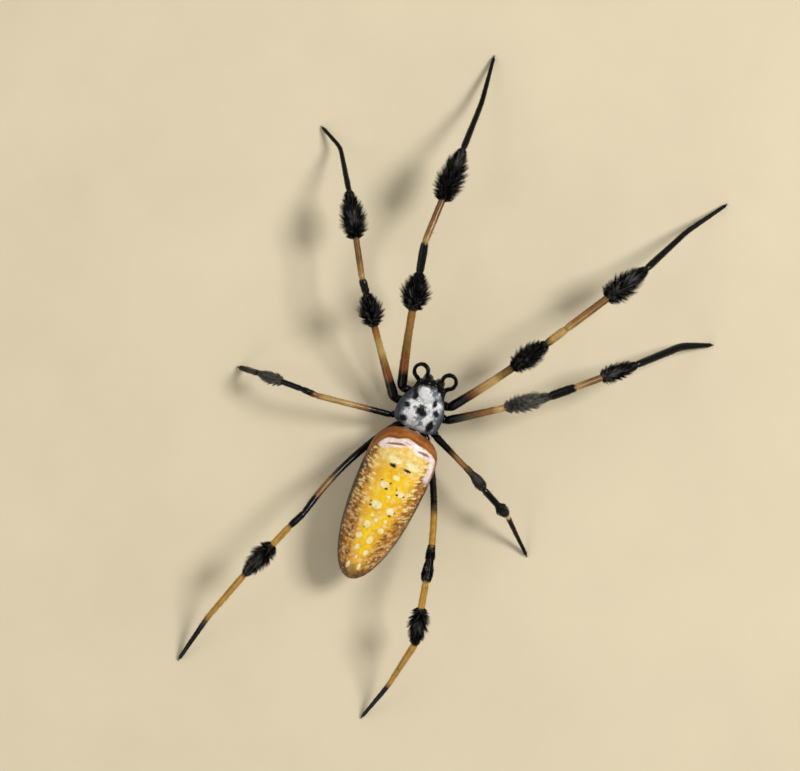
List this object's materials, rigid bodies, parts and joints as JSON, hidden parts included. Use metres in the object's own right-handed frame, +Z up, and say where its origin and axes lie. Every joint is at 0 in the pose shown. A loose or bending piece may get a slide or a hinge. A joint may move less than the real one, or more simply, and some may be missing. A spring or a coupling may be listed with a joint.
{
  "type": "golden silk orb-weaver spider",
  "caption": "Female golden silk orb-weaver, a still museum model: long golden abdomen, silvery front body and long banded legs with black tufts, standing on the tips of its feet.",
  "frame": {"origin": "on the floor, under the centre of the box round the whole spider", "axes": "-Y the way the head faces, +Z up from the floor to the back, +X the spider's left"},
  "size_m": [0.0634, 0.0962, 0.0115],
  "materials": {
    "abdomen_gold": "golden cuticle with short hairs, pale spots and brown flanks",
    "carapace_silver": "silvery down over black cuticle",
    "underside_brown": "dark brown cuticle",
    "leg_gold": "golden brown cuticle, black under the tufts",
    "leg_black": "black cuticle with fine hairs",
    "jaw_black": "polished black cuticle",
    "eye_black": "glossy black lens",
    "spinneret_brown": "brown cuticle"
  },
  "bodies": {
    "root": {"abdomen": "abdomen_gold", "carapace": "carapace_silver", "eye_front_middle_left": "eye_black", "eye_front_middle_right": "eye_black", "eye_front_side_left": "eye_black", "eye_front_side_right": "eye_black", "eye_rear_middle_left": "eye_black", "eye_rear_middle_right": "eye_black", "eye_rear_side_left": "eye_black", "eye_rear_side_right": "eye_black", "fang_left": "jaw_black", "fang_right": "jaw_black", "jaw_left": "jaw_black", "jaw_right": "jaw_black", "leg_1_left_coxa": "leg_black", "leg_1_left_femur": "leg_gold", "leg_1_left_foot": "leg_black", "leg_1_left_patella": "leg_black", "leg_1_left_tibia": "leg_gold", "leg_1_right_coxa": "leg_black", "leg_1_right_femur": "leg_gold", "leg_1_right_foot": "leg_black", "leg_1_right_patella": "leg_black", "leg_1_right_tibia": "leg_gold", "leg_2_left_coxa": "leg_black", "leg_2_left_femur": "leg_gold", "leg_2_left_foot": "leg_black", "leg_2_left_patella": "leg_black", "leg_2_left_tibia": "leg_gold", "leg_2_right_coxa": "leg_black", "leg_2_right_femur": "leg_gold", "leg_2_right_foot": "leg_black", "leg_2_right_patella": "leg_black", "leg_2_right_tibia": "leg_gold", "leg_3_left_coxa": "leg_black", "leg_3_left_femur": "leg_gold", "leg_3_left_foot": "leg_black", "leg_3_left_patella": "leg_black", "leg_3_left_tibia": "leg_gold", "leg_3_right_coxa": "leg_black", "leg_3_right_femur": "leg_gold", "leg_3_right_foot": "leg_black", "leg_3_right_patella": "leg_black", "leg_3_right_tibia": "leg_gold", "leg_4_left_coxa": "leg_black", "leg_4_left_femur": "leg_gold", "leg_4_left_foot": "leg_black", "leg_4_left_patella": "leg_black", "leg_4_left_tibia": "leg_gold", "leg_4_right_coxa": "leg_black", "leg_4_right_femur": "leg_gold", "leg_4_right_foot": "leg_black", "leg_4_right_patella": "leg_black", "leg_4_right_tibia": "leg_gold", "palp_left": "leg_black", "palp_right": "leg_black", "pedicel": "underside_brown", "spinnerets": "spinneret_brown", "sternum": "underside_brown"}
  },
  "joints": []
}
